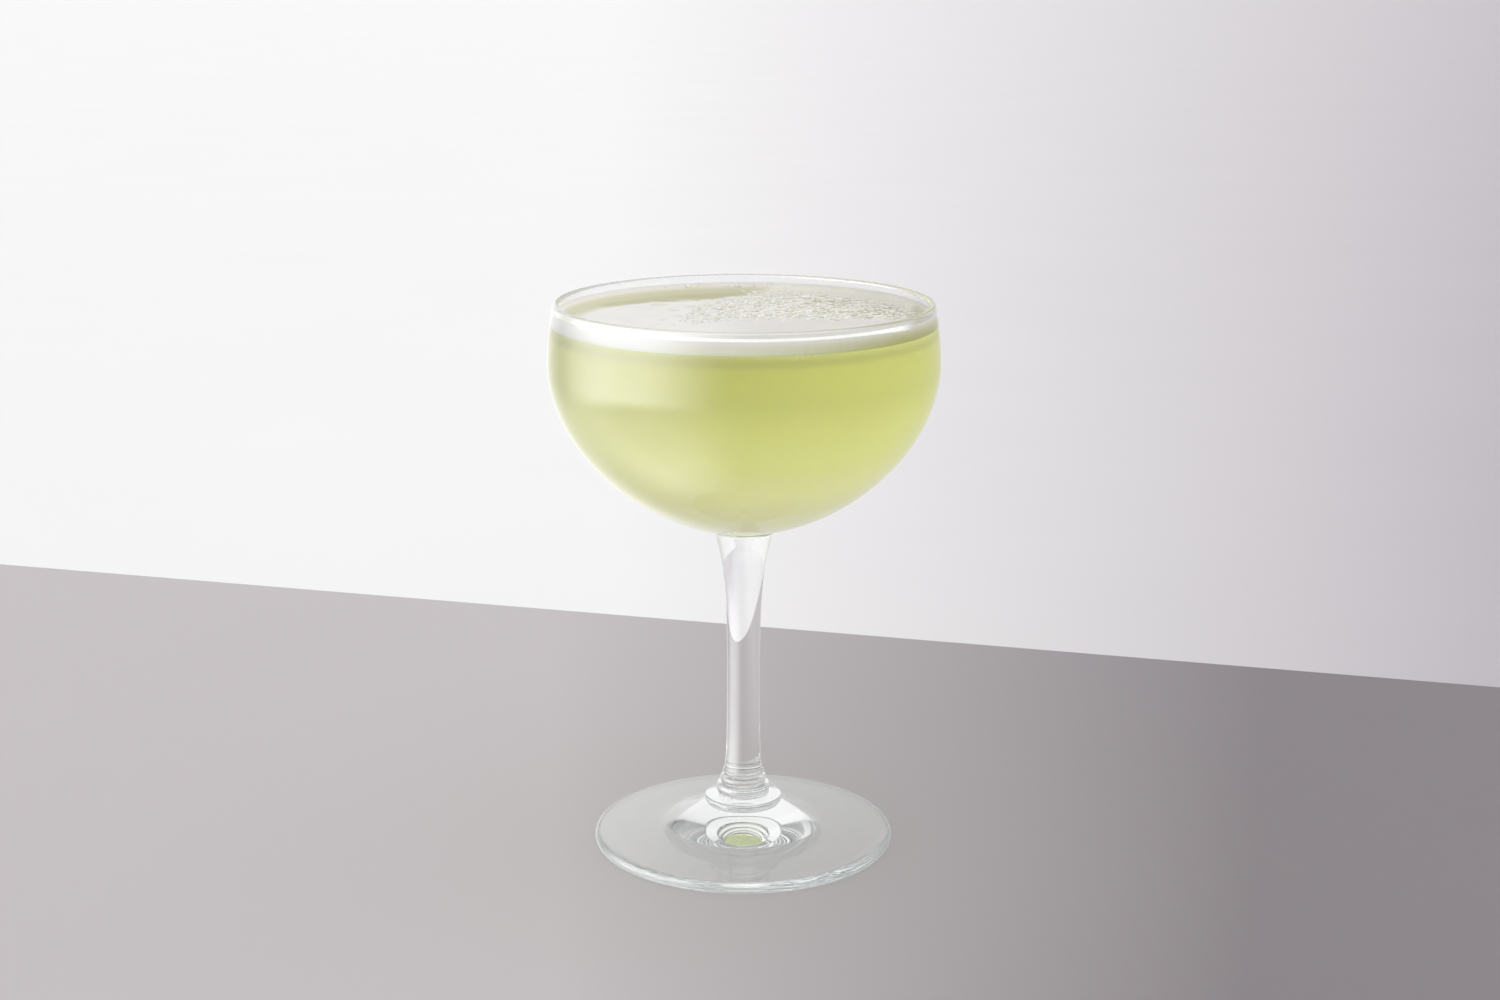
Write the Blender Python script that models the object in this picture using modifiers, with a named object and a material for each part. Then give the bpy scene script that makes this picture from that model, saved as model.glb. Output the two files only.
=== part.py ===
"""Daiquiri in its stemmed coupe glass: the glass, the drink and the froth on top.

Run with: blender --background --python part.py
Units are metres, +Z is up, and the foot's resting ring lies on z = 0 round the origin.
Three closed solids are made: "glass", "drink" and "froth".
"""

import math
import random

import bmesh
import bpy
from mathutils import Matrix

MM = 0.001

# Overall shape of the glass
GLASS_HEIGHT = 131.3 * MM
RIM_DIAMETER = 88.0 * MM
BOWL_MAX_RADIUS = 45.4 * MM
BOWL_MAX_HEIGHT = 116.4 * MM
BOWL_BOTTOM = 76.75 * MM
BOWL_SQUARENESS = 1.82
WALL = 1.5 * MM
BOWL_FLOOR = 3.0 * MM
BOWL_JOINT_SHARE = 0.877
LIP_RADIUS = RIM_DIAMETER / 2 - WALL / 2
LIP_HEIGHT = GLASS_HEIGHT - WALL / 2
INNER_DEPTH = BOWL_MAX_HEIGHT - BOWL_BOTTOM - BOWL_FLOOR

# Stem
STEM_RADIUS = 3.87 * MM
STEM_TOP = 76.6 * MM
STEM_TOP_FLARE = 3.03 * MM
STEM_TOP_FLARE_LENGTH = 9.2 * MM
STEM_TOP_FLARE_POWER = 1.18
STEM_BOTTOM = 18.4 * MM
STEM_BOTTOM_FLARE = 0.6 * MM
STEM_BOTTOM_FLARE_LENGTH = 5.8 * MM

# Moulded rings between stem and foot, each a radius, a middle height and half its height
RINGS = (
    (4.95 * MM, 17.05 * MM, 0.75 * MM),
    (5.55 * MM, 15.35 * MM, 0.85 * MM),
    (6.45 * MM, 13.10 * MM, 1.20 * MM),
)
RING_BULGE = 0.7 * MM

# Collar and foot
NECK_RADIUS = 6.1 * MM
NECK_HEIGHT = 11.65 * MM
COLLAR_RADIUS = 9.3 * MM
COLLAR_TOP = 11.4 * MM
COLLAR_BOTTOM = 9.6 * MM
MOUND_TOP_RADIUS = 8.8 * MM
MOUND_TOP = 9.4 * MM
MOUND_RADIUS = 19.3 * MM
MOUND_FOOT = 4.5 * MM
MOUND_HOLLOWNESS = 1.1
MOUND_EASING = 0.2
FOOT_RADIUS = 35.8 * MM
FOOT_EDGE = 3.0 * MM
FOOT_EDGE_DEPTH = 1.35 * MM
REST_RING_OUTER = 34.6 * MM
REST_RING_INNER = 32.6 * MM
UNDERSIDE_RISE = 1.2 * MM
DIMPLE_RISE = 1.4 * MM
DIMPLE_REACH = 12.0 * MM
UNDERSIDE_RADII = (
    REST_RING_INNER, 26.0 * MM, 20.0 * MM, 15.0 * MM, 11.0 * MM, 7.5 * MM, 4.0 * MM, 0.0,
)

# Contents
FIT_GAP = 0.3 * MM
WATERLINE = 126.25 * MM
SURFACE = 126.0 * MM
FROTH_THICKNESS = 0.9 * MM
FROTH_SKIRT = 5.5 * MM
MENISCUS_STEPS = (6.5 * MM, 3.2 * MM, 1.6 * MM, 0.8 * MM)
MENISCUS_RISE = 2.7 * MM
MENISCUS_LENGTH = 1.5 * MM

# Raft of bubbles on the froth
RAFT_CENTRE = (13.0 * MM, 29.0 * MM)
RAFT_RADIUS = 33.0 * MM
BUBBLE_RADII = (1.0 * MM, 1.45 * MM)
BUBBLE_FLATNESS = 0.6
BUBBLE_LIFT = -0.05
BUBBLE_SPACING = 1.25
BUBBLE_WALL_GAP = 0.5 * MM
BUBBLE_SIDES = 7
BUBBLE_ROWS = 4
BUBBLE_COUNT = 100
BUBBLE_TRIES = 6000
BUBBLE_SEED = 11

# Fineness
SEGMENTS = 48
MERGE = 0.00001


def clear_scene():
    for obj in list(bpy.data.objects):
        bpy.data.objects.remove(obj, do_unlink=True)


def make_collection(name):
    collection = bpy.data.collections.new(name)
    bpy.context.scene.collection.children.link(collection)
    return collection


def make_material(name, colour, roughness, transmission=0.0, ior=1.45):
    material = bpy.data.materials.new(name)
    material.use_nodes = True
    shader = material.node_tree.nodes["Principled BSDF"]
    shader.inputs["Base Color"].default_value = (*colour, 1.0)
    shader.inputs["Roughness"].default_value = roughness
    shader.inputs["Metallic"].default_value = 0.0
    shader.inputs["Transmission Weight"].default_value = transmission
    shader.inputs["IOR"].default_value = ior
    material.diffuse_color = (*colour, 1.0)
    return material


def arc(centre_radius, centre_height, half_width, half_height, start, end, steps):
    """Points of an ellipse arc from start to end degrees, 0 pointing outwards and 90 up."""
    points = []
    for step in range(steps + 1):
        angle = math.radians(start + (end - start) * step / steps)
        radius = centre_radius + half_width * math.cos(angle)
        points.append((radius, centre_height + half_height * math.sin(angle)))
    return points


def turned(name, profile, material, collection):
    """A closed solid of revolution from a profile that runs down its outer side."""
    mesh = bpy.data.meshes.new(name)
    edges = [(i, i + 1) for i in range(len(profile) - 1)]
    mesh.from_pydata([(radius, 0.0, height) for radius, height in profile], edges, [])
    mesh.materials.append(material)
    obj = bpy.data.objects.new(name, mesh)
    collection.objects.link(obj)
    screw = obj.modifiers.new("turn", "SCREW")
    screw.axis = "Z"
    screw.angle = 2 * math.pi
    screw.steps = SEGMENTS
    screw.render_steps = SEGMENTS
    screw.use_merge_vertices = True
    screw.merge_threshold = MERGE
    screw.use_smooth_shade = True
    return obj


def bowl_curve(max_radius, depth, share):
    """Point on the bowl's lower half: share 0 is at its widest, 1 is at the bottom."""
    angle = share * math.pi / 2
    power = 2 / BOWL_SQUARENESS
    radius = max_radius * math.cos(angle) ** power
    return radius, BOWL_MAX_HEIGHT - depth * math.sin(angle) ** power


def shoulder_radius(max_radius, height):
    """Radius of the wall above its widest point, where it draws in to the rim."""
    ratio = LIP_RADIUS / (BOWL_MAX_RADIUS - WALL / 2)
    half_axis = (LIP_HEIGHT - BOWL_MAX_HEIGHT) / math.sqrt(1 - ratio**2)
    return max_radius * math.sqrt(1 - ((height - BOWL_MAX_HEIGHT) / half_axis) ** 2)


def wall_above(max_radius, top, steps):
    """Points of the wall from just above its widest point up to the given height."""
    points = []
    for step in range(1, steps + 1):
        height = BOWL_MAX_HEIGHT + (top - BOWL_MAX_HEIGHT) * step / steps
        points.append((shoulder_radius(max_radius, height), height))
    return points


def bowl_below(max_radius, depth, last_share, steps):
    """Points of the bowl from its widest place down to the given share of the way."""
    return [bowl_curve(max_radius, depth, last_share * step / steps) for step in range(steps + 1)]


def stem_radius(height):
    down = (STEM_TOP - height) / STEM_TOP_FLARE_LENGTH
    up = (height - STEM_BOTTOM) / STEM_BOTTOM_FLARE_LENGTH
    flare_top = STEM_TOP_FLARE * math.exp(-(down**STEM_TOP_FLARE_POWER))
    return STEM_RADIUS + flare_top + STEM_BOTTOM_FLARE * math.exp(-up)


def stem_profile(steps=9):
    points = []
    for step in range(steps + 1):
        height = STEM_TOP + (STEM_BOTTOM - STEM_TOP) * step / steps
        points.append((stem_radius(height), height))
    return points


def ring_profile():
    points = []
    for radius, height, half_height in RINGS:
        points += arc(radius - RING_BULGE, height, RING_BULGE, half_height, 60, -60, 3)
    return points


def mound_profile(steps=5):
    """The foot's slightly hollow cone, steepest under the collar."""
    points = []
    for step in range(steps + 1):
        share = step / steps
        fall = (1 - share) ** MOUND_HOLLOWNESS * (1 - MOUND_EASING * share)
        radius = MOUND_TOP_RADIUS + (MOUND_RADIUS - MOUND_TOP_RADIUS) * share
        points.append((radius, MOUND_FOOT + (MOUND_TOP - MOUND_FOOT) * fall))
    return points


def underside_height(radius):
    """Height of the foot's underside: a wide shallow hollow with a dimple in its middle."""
    wide = UNDERSIDE_RISE * (1 - (radius / REST_RING_INNER) ** 2)
    dimple = math.exp(-((radius / DIMPLE_REACH) ** 2))
    dimple_end = math.exp(-((REST_RING_INNER / DIMPLE_REACH) ** 2))
    return wide + DIMPLE_RISE * (dimple - dimple_end)


def underside_profile():
    """Points under the foot, from the resting ring's inner edge to the axis."""
    return [(radius, underside_height(radius)) for radius in UNDERSIDE_RADII]


def foot_profile():
    """Collar, mound, plate, rounded edge, flat resting ring and hollow underside."""
    collar_middle = (COLLAR_TOP + COLLAR_BOTTOM) / 2
    collar_half = (COLLAR_TOP - COLLAR_BOTTOM) / 2
    points = [(NECK_RADIUS, NECK_HEIGHT)]
    points += arc(COLLAR_RADIUS - collar_half, collar_middle, collar_half, collar_half, 75, -75, 3)
    points += mound_profile()
    edge_half = FOOT_EDGE / 2
    points += arc(FOOT_RADIUS - FOOT_EDGE_DEPTH, edge_half, FOOT_EDGE_DEPTH, edge_half, 80, -60, 5)
    points.append((REST_RING_OUTER, 0.0))
    points += underside_profile()
    return points


def glass_profile():
    """Whole section of the glass: up the inside, over the lip, then down the outside."""
    inner_radius = BOWL_MAX_RADIUS - WALL
    points = bowl_below(inner_radius, INNER_DEPTH, 1.0, 12)[::-1]
    points[0] = (0.0, points[0][1])
    points += wall_above(inner_radius, LIP_HEIGHT, 2)
    points += arc(LIP_RADIUS, LIP_HEIGHT, WALL / 2, WALL / 2, 155, 25, 4)
    points += wall_above(BOWL_MAX_RADIUS, LIP_HEIGHT, 2)[::-1]
    points += bowl_below(BOWL_MAX_RADIUS, BOWL_MAX_HEIGHT - BOWL_BOTTOM, BOWL_JOINT_SHARE, 11)
    points += stem_profile()
    points += ring_profile()
    points += foot_profile()
    return points


def inside_radius(height):
    """Radius that the contents may take at a height, a fitting gap inside the wall."""
    inner_radius = BOWL_MAX_RADIUS - WALL
    return shoulder_radius(inner_radius, height) - FIT_GAP


def drink_profile():
    """The drink's section: its slightly dished top, then down along the inside of the bowl."""
    inner_radius = BOWL_MAX_RADIUS - WALL - FIT_GAP
    edge = inside_radius(WATERLINE - FIT_GAP)
    middle = SURFACE - FROTH_THICKNESS - FIT_GAP
    points = [(0.0, middle), (edge - FROTH_SKIRT, middle), (edge, WATERLINE - FIT_GAP)]
    points += wall_above(inner_radius, WATERLINE - FIT_GAP, 2)[::-1][1:]
    points += bowl_below(inner_radius, INNER_DEPTH - FIT_GAP, 1.0, 12)
    points[-1] = (0.0, points[-1][1])
    return points


def froth_top(radius):
    """Height of the froth: level in the middle, drawn up the wall at its edge."""
    from_wall = inside_radius(SURFACE) - radius
    return SURFACE + MENISCUS_RISE * math.exp(-max(from_wall, 0.0) / MENISCUS_LENGTH)


def froth_profile():
    """The froth's section: level top, meniscus at the wall, then its dished underside."""
    top = SURFACE + MENISCUS_RISE
    edge = inside_radius(top)
    edge_low = inside_radius(WATERLINE)
    middle = SURFACE - FROTH_THICKNESS
    points = [(0.0, SURFACE)]
    points += [(edge - inset, froth_top(edge - inset)) for inset in MENISCUS_STEPS]
    points += [(edge, top), (edge_low, WATERLINE), (edge_low - FROTH_SKIRT, middle), (0.0, middle)]
    return points


def bubble_places():
    """Places and radii of the larger bubbles, spread over the raft without touching."""
    rng = random.Random(BUBBLE_SEED)
    places = []
    for _ in range(BUBBLE_TRIES):
        radius = rng.uniform(*BUBBLE_RADII)
        angle = rng.uniform(0.0, 2 * math.pi)
        reach = RAFT_RADIUS * math.sqrt(rng.random())
        x = RAFT_CENTRE[0] + reach * math.cos(angle)
        y = RAFT_CENTRE[1] + reach * math.sin(angle)
        if math.hypot(x, y) > inside_radius(SURFACE + MENISCUS_RISE) - radius - BUBBLE_WALL_GAP:
            continue
        if any(math.hypot(x - a, y - b) < BUBBLE_SPACING * (radius + c) for a, b, c in places):
            continue
        places.append((x, y, radius))
        if len(places) == BUBBLE_COUNT:
            break
    return places


def make_bubbles(collection):
    """One small flattened ball for each bubble, half sunk in the froth."""
    for index, (x, y, radius) in enumerate(bubble_places()):
        mesh = bpy.data.meshes.new("bubble")
        form = bmesh.new()
        bmesh.ops.create_uvsphere(
            form, u_segments=BUBBLE_SIDES, v_segments=BUBBLE_ROWS, radius=radius
        )
        form.to_mesh(mesh)
        form.free()
        obj = bpy.data.objects.new(f"bubble_{index}", mesh)
        height = froth_top(math.hypot(x, y)) + radius * BUBBLE_FLATNESS * BUBBLE_LIFT
        turn = Matrix.Rotation(index, 4, "Z")
        flatten = Matrix.Diagonal((1.0, 1.0, BUBBLE_FLATNESS, 1.0))
        obj.matrix_world = Matrix.Translation((x, y, height)) @ turn @ flatten
        collection.objects.link(obj)


def fuse(obj, collection):
    """Unite an object with everything in a collection, and remove that collection."""
    union = obj.modifiers.new("fuse", "BOOLEAN")
    union.operation = "UNION"
    union.operand_type = "COLLECTION"
    union.collection = collection
    union.solver = "EXACT"
    bpy.context.view_layer.update()
    evaluated = obj.evaluated_get(bpy.context.evaluated_depsgraph_get())
    mesh = bpy.data.meshes.new_from_object(evaluated)
    obj.modifiers.clear()
    obj.data = mesh
    for piece in list(collection.objects):
        bpy.data.objects.remove(piece, do_unlink=True)
    bpy.data.collections.remove(collection)


def main():
    clear_scene()
    parts = make_collection("daiquiri")
    clear_glass = make_material("clear_glass", (0.93, 0.96, 0.95), 0.03, 1.0, 1.5)
    lime_drink = make_material("lime_drink", (0.56, 0.58, 0.20), 0.15, 0.0, 1.35)
    white_froth = make_material("white_froth", (0.80, 0.79, 0.70), 0.35)
    turned("glass", glass_profile(), clear_glass, parts)
    turned("drink", drink_profile(), lime_drink, parts)
    froth = turned("froth", froth_profile(), white_froth, parts)
    bubbles = make_collection("bubbles")
    make_bubbles(bubbles)
    fuse(froth, bubbles)


main()
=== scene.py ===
"""Daiquiri in its coupe glass: its turned pieces, froth bubbles, finishes, stage, light and camera.

Units are metres. The glass stands on z = 0 with its axis on Z, and the usual view looks along +Y.
The sizes are those of the CAD source, which can't be read from here.
"""

import logging
import math
from dataclasses import dataclass
from dataclasses import field
from enum import Enum
from typing import Any
from typing import ClassVar
from typing import Sequence

import bpy
import numpy as np
from mathutils import Euler
from mathutils import Matrix


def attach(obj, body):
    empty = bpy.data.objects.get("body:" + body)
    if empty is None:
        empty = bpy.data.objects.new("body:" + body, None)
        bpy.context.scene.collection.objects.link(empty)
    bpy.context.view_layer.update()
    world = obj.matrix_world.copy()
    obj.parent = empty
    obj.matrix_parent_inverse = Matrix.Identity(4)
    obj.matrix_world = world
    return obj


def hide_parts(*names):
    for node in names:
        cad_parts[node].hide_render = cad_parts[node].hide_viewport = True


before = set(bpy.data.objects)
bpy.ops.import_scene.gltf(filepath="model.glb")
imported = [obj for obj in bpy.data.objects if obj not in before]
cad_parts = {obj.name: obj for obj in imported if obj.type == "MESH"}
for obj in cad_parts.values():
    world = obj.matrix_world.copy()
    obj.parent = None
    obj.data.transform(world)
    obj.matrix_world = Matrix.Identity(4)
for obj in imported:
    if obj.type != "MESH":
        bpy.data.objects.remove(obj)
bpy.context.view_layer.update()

Point = tuple[float, float]
Place = tuple[float, float, float]
Colour = tuple[float, float, float]
Stop = tuple[float, Colour]
Value = Any

MM = 0.001
FULL_TURN = 2 * math.pi
log = logging.getLogger("daiquiri")


class Slot(Enum):
    """The record's material slots."""

    GLASS = "clear_glass"
    DRINK = "lime_drink"
    FROTH = "white_froth"


class Ray(Enum):
    """Kinds of light ray that a shader can tell apart."""

    CAMERA = "Is Camera Ray"
    SHADOW = "Is Shadow Ray"
    DIFFUSE = "Is Diffuse Ray"
    GLOSSY = "Is Glossy Ray"
    THROUGH = "Is Transmission Ray"


class Zone(Enum):
    """Parts of the froth's section, kept on its mesh for the finish."""

    TOP = 0.0
    SIDE = 1.0


# --- Node trees ---


class Bench:
    """Adds, sets and links the nodes of one tree."""

    def __init__(self, tree: bpy.types.NodeTree) -> None:
        """Keep the tree that the nodes go into."""
        self.tree = tree

    def add(self, kind: str, inputs: dict[Any, Value] | None = None, **settings: Value) -> Any:
        """Add a node.

        Args:
            kind: Blender's name of the node type.
            inputs: value or source socket for each input, by name or number.
            settings: properties of the node itself.

        Returns:
            The new node.
        """
        node = self.tree.nodes.new(kind)
        for name, value in settings.items():
            setattr(node, name, value)
        self.fill(node, inputs or {})
        return node

    def fill(self, node: Any, inputs: dict[Any, Value]) -> None:
        """Set or link several inputs of a node, by name or number."""
        for key, value in inputs.items():
            self.feed(node.inputs[key], value)

    def feed(self, socket: bpy.types.NodeSocket, value: Value) -> None:
        """Link a source socket to an input, or set the input's own value."""
        if isinstance(value, bpy.types.NodeSocket):
            self.tree.links.new(value, socket)
        elif isinstance(value, tuple) and socket.type == "RGBA":
            socket.default_value = (*value, 1.0)
        else:
            socket.default_value = value

    def math(self, operation: str, *values: Value, clamp: bool = False) -> Any:
        """Result socket of one Math node."""
        inputs = dict(enumerate(values))
        return self.add("ShaderNodeMath", inputs, operation=operation, use_clamp=clamp).outputs[0]

    def plus(self, first: Value, second: Value) -> Any:
        """Sum of two numbers."""
        return self.math("ADD", first, second)

    def minus(self, first: Value, second: Value) -> Any:
        """Difference of two numbers."""
        return self.math("SUBTRACT", first, second)

    def times(self, first: Value, second: Value) -> Any:
        """Product of two numbers."""
        return self.math("MULTIPLY", first, second)

    def share_of(self, first: Value, second: Value) -> Any:
        """First number over the second."""
        return self.math("DIVIDE", first, second)

    def times_plus(self, first: Value, second: Value, third: Value) -> Any:
        """Product of the first two numbers, plus the third."""
        return self.math("MULTIPLY_ADD", first, second, third)

    def spread(self, value: Value, low: Value, high: Value, soft: bool = True) -> Any:
        """Share from 0 at low to 1 at high, eased unless soft is off."""
        inputs = {0: value, 1: low, 2: high}
        kind = "SMOOTHSTEP" if soft else "LINEAR"
        return self.add("ShaderNodeMapRange", inputs, interpolation_type=kind).outputs[0]

    def between(self, share: Value, first: Value, second: Value) -> Any:
        """Number that goes from first to second as share goes from 0 to 1."""
        inputs = {0: share, 3: first, 4: second}
        return self.add("ShaderNodeMapRange", inputs).outputs[0]

    def blend(self, share: Value, first: Value, second: Value) -> Any:
        """Colour that goes from first to second as share goes from 0 to 1."""
        inputs = {0: share, 6: first, 7: second}
        return self.add("ShaderNodeMix", inputs, data_type="RGBA").outputs[2]

    def ramp(self, share: Value, stops: Sequence[Stop]) -> Any:
        """Colour from a ramp of stops, each a place and a colour."""
        node = self.add("ShaderNodeValToRGB", {0: share})
        ramp = node.color_ramp
        while len(ramp.elements) < len(stops):
            ramp.elements.new(1.0)
        for element, (place, colour) in zip(ramp.elements, stops):
            element.position = place
            element.color = (*colour, 1.0)
        return node.outputs[0]

    def noise(self, place: Value, scale: float, detail: float = 2.0, rough: float = 0.5) -> Any:
        """Share of a soft noise pattern."""
        inputs = {"Vector": place, "Scale": scale, "Detail": detail, "Roughness": rough}
        return self.add("ShaderNodeTexNoise", inputs).outputs[0]

    def cells(self, place: Value, scale: float, feature: str = "F1") -> Any:
        """Distance in a pattern of round cells."""
        inputs = {"Vector": place, "Scale": scale}
        return self.add("ShaderNodeTexVoronoi", inputs, feature=feature).outputs["Distance"]

    def stretched(self, place: Value, scale: Place) -> Any:
        """Place vector scaled along each axis."""
        inputs = {"Vector": place, "Scale": scale}
        return self.add("ShaderNodeMapping", inputs).outputs[0]

    def scaled(self, vector: Value, scale: Value) -> Any:
        """Vector or colour times a number."""
        inputs = {0: vector, "Scale": scale}
        return self.add("ShaderNodeVectorMath", inputs, operation="SCALE").outputs["Vector"]

    def parts(self, vector: Value) -> tuple[Any, Any, Any]:
        """The x, y and z of a vector."""
        outputs = self.add("ShaderNodeSeparateXYZ", {0: vector}).outputs
        return outputs[0], outputs[1], outputs[2]

    def joined(self, x: Value, y: Value, z: Value) -> Any:
        """A vector from its x, y and z."""
        return self.add("ShaderNodeCombineXYZ", {0: x, 1: y, 2: z}).outputs[0]

    def place(self) -> Any:
        """Object coordinates, in metres."""
        return self.add("ShaderNodeTexCoord").outputs["Object"]

    def attribute(self, name: str) -> Any:
        """Number kept on the mesh under a name."""
        return self.add("ShaderNodeAttribute", attribute_name=name).outputs["Fac"]

    def stored(self, name: str) -> Any:
        """The same number inside a geometry tree."""
        return self.add("GeometryNodeInputNamedAttribute", {0: name}, data_type="FLOAT").outputs[0]

    def keep(self, geometry: Value, name: str, value: Value) -> Any:
        """Geometry with a number kept on its points, inside a geometry tree."""
        inputs = {"Geometry": geometry, "Name": name, "Value": value}
        node = self.add("GeometryNodeStoreNamedAttribute", inputs, data_type="FLOAT")
        return node.outputs[0]

    def bump(self, height: Value, distance: float, strength: float, below: Value = None) -> Any:
        """Normal bent by a height pattern, on top of another bend if one is given."""
        inputs = {"Height": height, "Distance": distance, "Strength": strength}
        if below is not None:
            inputs["Normal"] = below
        return self.add("ShaderNodeBump", inputs).outputs[0]

    def ray(self, kind: Ray) -> Any:
        """1 on one kind of ray and 0 on the others."""
        return self.add("ShaderNodeLightPath").outputs[kind.value]


def new_material(name: str) -> tuple[bpy.types.Material, Bench, Any, Any]:
    """Make a material with a Principled shader.

    Args:
        name: name of the material.

    Returns:
        The material, the bench for its nodes, the Principled shader and the output node.
    """
    material = bpy.data.materials.new(name)
    material.use_nodes = True
    tree = material.node_tree
    return material, Bench(tree), tree.nodes["Principled BSDF"], tree.nodes["Material Output"]


# --- Finishes ---


WET_FOAM = {"IOR": 1.33, "Subsurface Scale": 0.8 * MM, "Subsurface Radius": (1.0, 1.0, 0.6)}


class Finish:
    """How a surface looks."""

    def material(self) -> bpy.types.Material:
        """Make the material; each finish has its own."""
        raise NotImplementedError


@dataclass(frozen=True)
class ClearGlass(Finish):
    """Pressed soda glass: clear, with a faint green in its thick places and slight waves."""

    name: str = "clear_glass"
    ior: float = 1.5
    tint: Colour = (0.40, 0.78, 0.74)
    depth_of_tint: float = 2.0
    lamp_share: Colour = (0.95, 0.97, 0.96)
    wave_scale: float = 55.0
    wave_height: float = 0.0002
    wave_strength: float = 0.025
    smear_scale: float = 160.0
    smear_share: Point = (0.5, 0.75)
    smear: float = 0.012

    def material(self) -> bpy.types.Material:
        """Make the material."""
        material, bench, shader, output = new_material(self.name)
        place = bench.place()
        waves = bench.noise(place, self.wave_scale, 1.0)
        smears = bench.spread(bench.noise(place, self.smear_scale, 3.0), *self.smear_share)
        looks = {
            "Base Color": (1.0, 1.0, 1.0),
            "Transmission Weight": 1.0,
            "IOR": self.ior,
            "Roughness": bench.between(smears, 0.0, self.smear),
            "Normal": bench.bump(waves, self.wave_height, self.wave_strength),
        }
        bench.fill(shader, looks)
        clear = bench.add("ShaderNodeBsdfTransparent", {0: self.lamp_share}).outputs[0]
        surface = shader.outputs[0]
        for kind in (Ray.DIFFUSE, Ray.SHADOW):
            inputs = {0: bench.ray(kind), 1: surface, 2: clear}
            surface = bench.add("ShaderNodeMixShader", inputs).outputs[0]
        inputs = {"Color": self.tint, "Density": self.depth_of_tint}
        depth = bench.add("ShaderNodeVolumeAbsorption", inputs).outputs[0]
        bench.fill(output, {"Surface": surface, "Volume": depth})
        return material


@dataclass(frozen=True)
class CloudyLime(Finish):
    """Cloudy pale lime drink: deeper under the froth and paler, brighter towards the bottom, partly as
    the liquid thins there and partly as painted light from below.
    """

    name: str = "lime_drink"
    # Colours up the drink: the paler, brighter bottom is partly thinner liquid and partly painted
    # light from below.
    stops: tuple[Stop, ...] = (
        (0.0, (0.696, 0.694, 0.5)),
        (0.216, (0.736, 0.714, 0.39)),
        (0.32, (0.765, 0.754, 0.377)),
        (0.486, (0.734, 0.738, 0.303)),
        (0.634, (0.708, 0.71, 0.272)),
        (0.78, (0.633, 0.638, 0.225)),
        (0.915, (0.665, 0.668, 0.21)),
        (0.955, (0.70, 0.70, 0.22)),
        (0.985, (0.70, 0.70, 0.23)),
        (1.0, (0.66, 0.67, 0.25)),
    )
    speck: Colour = (0.80, 0.79, 0.62)
    low: float = 79.0 * MM
    high: float = 126.3 * MM
    cloud_scale: float = 45.0
    cloud_share: float = 0.05
    speck_scale: float = 1500.0
    speck_patch_scale: float = 420.0
    speck_patches: Point = (0.5, 0.7)
    speck_size: Point = (0.38, 0.2)
    speck_depth: float = 1.7 * MM
    scatter_reach: float = 0.014
    scatter_radius: Place = (1.0, 1.0, 0.4)
    edge_depth: Point = (3.2 * MM, 0.1 * MM)
    edge_scatter: float = 0.0
    roughness: float = 0.35
    roughness_play: float = 0.05
    gloss: float = 0.05
    ior: float = 1.35

    def material(self) -> bpy.types.Material:
        """Make the material."""
        material, bench, shader, _output = new_material(self.name)
        place = bench.place()
        height = bench.parts(place)[2]
        clouds = bench.noise(place, self.cloud_scale, 3.0)
        level = bench.spread(height, self.low, self.high, soft=False)
        shift = bench.between(clouds, -self.cloud_share, self.cloud_share)
        level = bench.plus(level, shift)
        # Body colour by height, with painted light from below in its paler bottom.
        body = bench.ramp(level, self.stops)
        near_top = bench.spread(height, self.high - self.speck_depth, self.high)
        dots = bench.cells(place, self.speck_scale)
        patches = bench.noise(place, self.speck_patch_scale, 2.0)
        few = bench.spread(patches, *self.speck_patches)
        dots = bench.times(bench.spread(dots, *self.speck_size), few)
        specks = bench.times(dots, near_top)
        play = self.roughness_play
        low, high = (self.high - depth for depth in self.edge_depth)
        edge = bench.spread(height, low, high, soft=False)
        looks = {
            "Base Color": bench.blend(specks, body, self.speck),
            "Roughness": bench.between(clouds, self.roughness - play, self.roughness + play),
            "Specular IOR Level": self.gloss,
            "IOR": self.ior,
            "Subsurface Weight": bench.between(edge, 1.0, self.edge_scatter),
            "Subsurface Scale": self.scatter_reach,
            "Subsurface Radius": self.scatter_radius,
        }
        bench.fill(shader, looks)
        return material


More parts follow.
